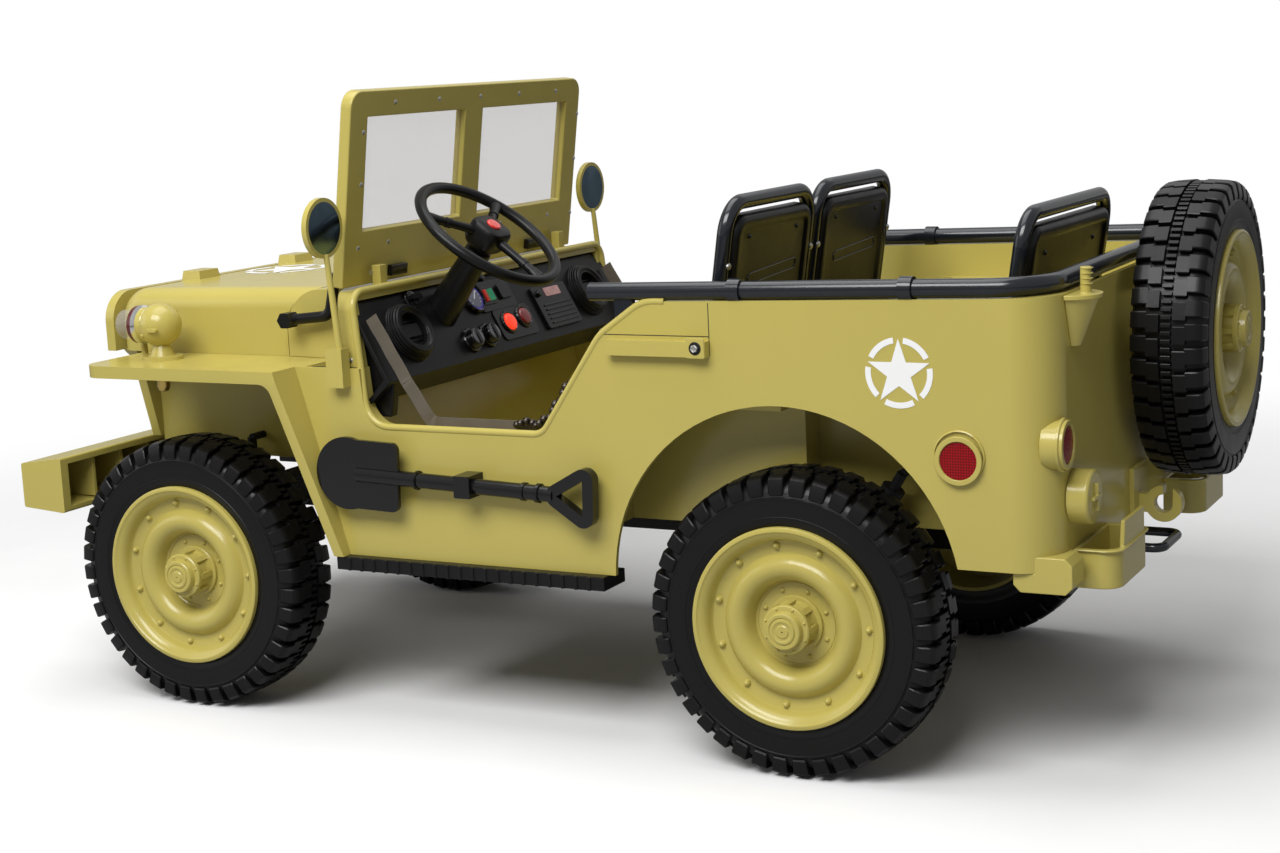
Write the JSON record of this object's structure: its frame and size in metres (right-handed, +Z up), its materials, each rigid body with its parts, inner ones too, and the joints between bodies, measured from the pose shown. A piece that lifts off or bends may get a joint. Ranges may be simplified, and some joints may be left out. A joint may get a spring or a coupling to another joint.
{
  "type": "ride-on toy army four-wheel-drive car",
  "caption": "Child's ride-on toy of an open army four-wheel-drive car with a folding windshield, steered front wheels and a spare wheel on the tail.",
  "frame": {"origin": "on the ground, under the middle of the car", "axes": "+X forwards, +Y to the left, +Z up"},
  "size_m": [1.55, 0.742, 0.7908],
  "materials": {
    "olive_plastic": "semi-gloss moulded plastic",
    "black_plastic": "satin moulded plastic",
    "tyre_rubber": "matt EVA or rubber tread",
    "black_tube": "gloss painted steel tube",
    "dark_steel": "painted steel chassis",
    "clear_glass": "clear plastic",
    "lamp_glass": "clear lens",
    "red_lens": "red reflector",
    "red_button": "gloss",
    "mirror_glass": "mirror",
    "webbing": "woven webbing"
  },
  "bodies": {
    "car": {"aerial_bracket": "olive_plastic", "bumperettes": "olive_plastic", "can_racks": "olive_plastic", "chassis": "dark_steel", "cowl": "olive_plastic", "dampers": "dark_steel", "dash": "black_plastic", "dash_controls": "black_plastic", "door_straps": "webbing", "fender_lamp": "olive_plastic", "fender_lamp_glass": "lamp_glass", "fender_left": "olive_plastic", "fender_right": "olive_plastic", "front_axle": "dark_steel", "front_bumper": "olive_plastic", "grille": "olive_plastic", "hood": "olive_plastic", "lamp_glasses": "lamp_glass", "mirror_glasses": "mirror_glass", "mirrors": "olive_plastic", "rear_axle": "dark_steel", "reflector_housings": "olive_plastic", "reflector_lenses": "red_lens", "rim_spare": "olive_plastic", "running_boards": "black_plastic", "seat_frames": "black_tube", "seats": "black_plastic", "shovel": "black_plastic", "side_rail": "black_tube", "spare_carrier": "olive_plastic", "steering_column": "black_plastic", "tail_cap": "olive_plastic", "tow_hook": "olive_plastic", "tow_loop": "black_tube", "tub": "olive_plastic", "tyre_spare": "tyre_rubber"},
    "knuckle_left": {"knuckle_left": "dark_steel"},
    "knuckle_right": {"knuckle_right": "dark_steel"},
    "wheel_front_left": {"tyre_front_left": "tyre_rubber", "rim_front_left": "olive_plastic"},
    "wheel_front_right": {"tyre_front_right": "tyre_rubber", "rim_front_right": "olive_plastic"},
    "wheel_rear_left": {"tyre_rear_left": "tyre_rubber", "rim_rear_left": "olive_plastic"},
    "wheel_rear_right": {"tyre_rear_right": "tyre_rubber", "rim_rear_right": "olive_plastic"},
    "steering_wheel": {"steering_wheel": "black_plastic", "horn_button": "red_button"},
    "windshield": {"windshield_frame": "olive_plastic", "windshield_glass": "clear_glass", "windshield_arms": "black_plastic", "windshield_catches": "black_plastic"}
  },
  "joints": [
    {"name": "steer_left", "type": "hinge", "parent": "car", "child": "knuckle_left", "pos_m": [0.507, 0.236, 0.177], "axis": [0, 0, 1], "range_deg": [-22, 22]},
    {"name": "steer_right", "type": "hinge", "parent": "car", "child": "knuckle_right", "pos_m": [0.507, -0.236, 0.177], "axis": [0, 0, 1], "range_deg": [-22, 22]},
    {"name": "wheel_front_left_spin", "type": "hinge", "parent": "knuckle_left", "child": "wheel_front_left", "pos_m": [0.507, 0.305, 0.177], "axis": [0, 1, 0], "continuous": true},
    {"name": "wheel_front_right_spin", "type": "hinge", "parent": "knuckle_right", "child": "wheel_front_right", "pos_m": [0.507, -0.305, 0.177], "axis": [0, 1, 0], "continuous": true},
    {"name": "wheel_rear_left_spin", "type": "hinge", "parent": "car", "child": "wheel_rear_left", "pos_m": [-0.35, 0.305, 0.177], "axis": [0, 1, 0], "continuous": true},
    {"name": "wheel_rear_right_spin", "type": "hinge", "parent": "car", "child": "wheel_rear_right", "pos_m": [-0.35, -0.305, 0.177], "axis": [0, 1, 0], "continuous": true},
    {"name": "steering_wheel_turn", "type": "hinge", "parent": "car", "child": "steering_wheel", "pos_m": [0.15, 0.13, 0.6], "axis": [-0.6074, 0, 0.7944], "range_deg": [-36, 36]},
    {"name": "windshield_fold", "type": "hinge", "parent": "car", "child": "windshield", "pos_m": [0.368, 0, 0.503], "axis": [0, 1, 0], "range_deg": [0, 103]}
  ],
  "couplings": [
    {"joint": "steer_right", "follows": "steer_left", "ratio": 1},
    {"joint": "steering_wheel_turn", "follows": "steer_left", "ratio": 1.6}
  ]
}
